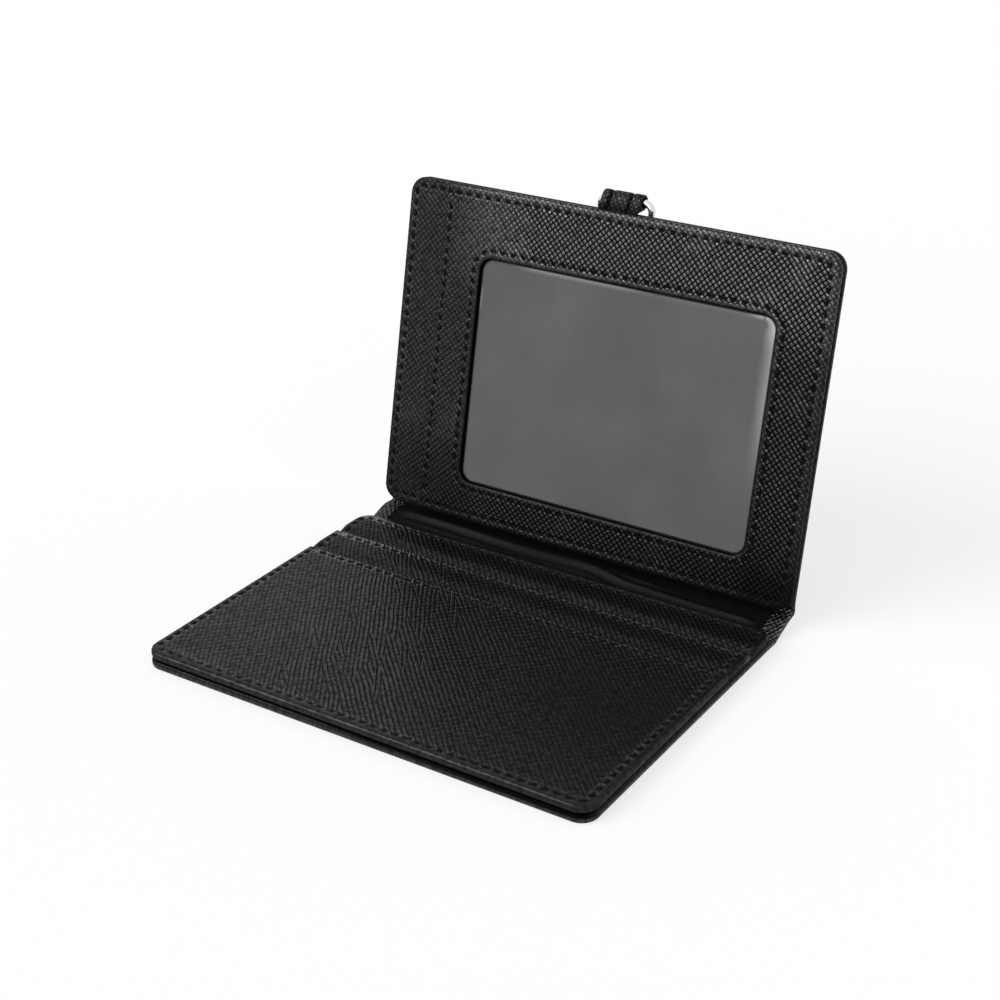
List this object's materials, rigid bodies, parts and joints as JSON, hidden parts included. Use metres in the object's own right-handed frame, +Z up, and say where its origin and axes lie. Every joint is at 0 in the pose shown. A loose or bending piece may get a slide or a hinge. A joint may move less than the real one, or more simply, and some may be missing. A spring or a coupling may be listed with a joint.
{
  "type": "bifold card holder",
  "caption": "Bifold card holder in cross-grained leather with card slots, a clear ID window with side entry, and a leather loop with a metal ring at the top edge.",
  "frame": {"origin": "middle of the lower leaf's underside, on the surface that it lies on", "axes": "+X along the fold to the right of someone facing the open window, +Y from the lower leaf's front edge towards the fold, +Z up"},
  "size_m": [0.105, 0.1038, 0.0826],
  "materials": {
    "leather": "cross-grained black leather, semi-matt with bright ridge tops",
    "fabric": "fine ribbed black fabric with a slight sheen",
    "card": "plain grey board",
    "film": "frosted clear film, satin",
    "thread": "waxed black thread",
    "ring_metal": "polished plated steel"
  },
  "bodies": {
    "lower_leaf": {"lower_cover": "leather", "lower_board": "card", "base_panel": "leather", "base_lining": "fabric", "middle_slot_panel": "leather", "middle_slot_lining": "fabric", "front_slot_panel": "leather", "lower_edge_thread": "thread", "middle_slot_thread": "thread", "front_slot_thread": "thread"},
    "spine": {"spine_cover": "leather", "spine_lining": "fabric"},
    "upper_leaf": {"upper_cover": "leather", "upper_board": "card", "window_lining": "fabric", "entry_strip": "leather", "window_panel": "leather", "window_film": "film", "upper_edge_thread": "thread", "window_thread": "thread", "entry_thread": "thread", "loop_tab": "leather"},
    "ring": {"lanyard_ring": "ring_metal"}
  },
  "joints": [
    {"name": "lower_crease", "type": "hinge", "parent": "lower_leaf", "child": "spine", "pos_m": [0, 0.03875, 0.0005], "axis": [1, 0, 0], "range_deg": [-18.1, 71.9]},
    {"name": "upper_crease", "type": "hinge", "parent": "spine", "child": "upper_leaf", "pos_m": [0, 0.04778, 0.00345], "axis": [1, 0, 0], "range_deg": [-60.8, 29.2]},
    {"name": "ring_swing", "type": "hinge", "parent": "upper_leaf", "child": "ring", "pos_m": [0, 0.06415, 0.0809], "axis": [1, 0, 0], "range_deg": [-5, 255]}
  ]
}
